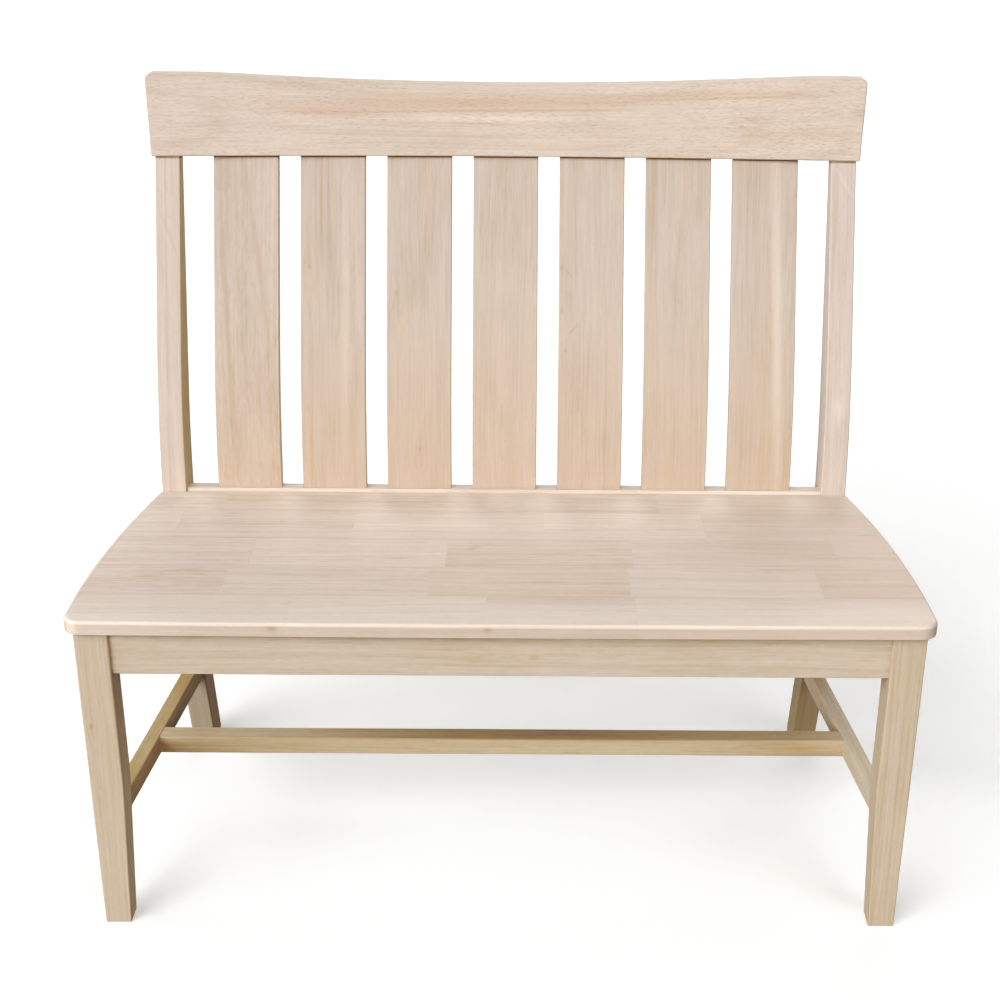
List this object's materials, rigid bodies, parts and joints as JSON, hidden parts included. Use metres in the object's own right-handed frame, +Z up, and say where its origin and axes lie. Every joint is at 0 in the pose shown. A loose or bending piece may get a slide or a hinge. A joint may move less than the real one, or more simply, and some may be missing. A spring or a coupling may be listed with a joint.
{
  "type": "mission settle",
  "caption": "Armless slat-back wooden bench with a solid seat, curved crest rail, bent back posts, tapered front legs and an H stretcher.",
  "frame": {"origin": "on the floor, under the middle of the whole object's bounding box", "axes": "+Z up, +X to the right as seen from the front, the front faces -Y"},
  "size_m": [1.076, 0.6169, 1.0213],
  "materials": {
    "seat_wood": "bare sanded hardwood, edge glued from staves",
    "leg_wood": "bare sanded hardwood",
    "rail_wood": "bare sanded hardwood",
    "slat_wood": "bare sanded hardwood",
    "inner_wood": "bare sanded hardwood",
    "screw_steel": "zinc plated"
  },
  "bodies": {
    "root": {"seat_panel": "seat_wood", "left_front_leg": "leg_wood", "right_front_leg": "leg_wood", "left_back_post": "leg_wood", "right_back_post": "leg_wood", "front_apron": "rail_wood", "back_rail": "rail_wood", "crest_rail": "rail_wood", "cross_stretcher": "rail_wood", "left_side_stretcher": "rail_wood", "right_side_stretcher": "rail_wood", "slat_1": "slat_wood", "slat_2": "slat_wood", "slat_3": "slat_wood", "slat_4": "slat_wood", "slat_5": "slat_wood", "slat_6": "slat_wood", "slat_7": "slat_wood", "left_side_apron": "inner_wood", "right_side_apron": "inner_wood", "seat_brace": "inner_wood", "front_left_corner_block": "inner_wood", "front_right_corner_block": "inner_wood", "rear_left_corner_block": "inner_wood", "rear_right_corner_block": "inner_wood", "corner_block_screws": "screw_steel", "seat_screws": "screw_steel"}
  },
  "joints": []
}
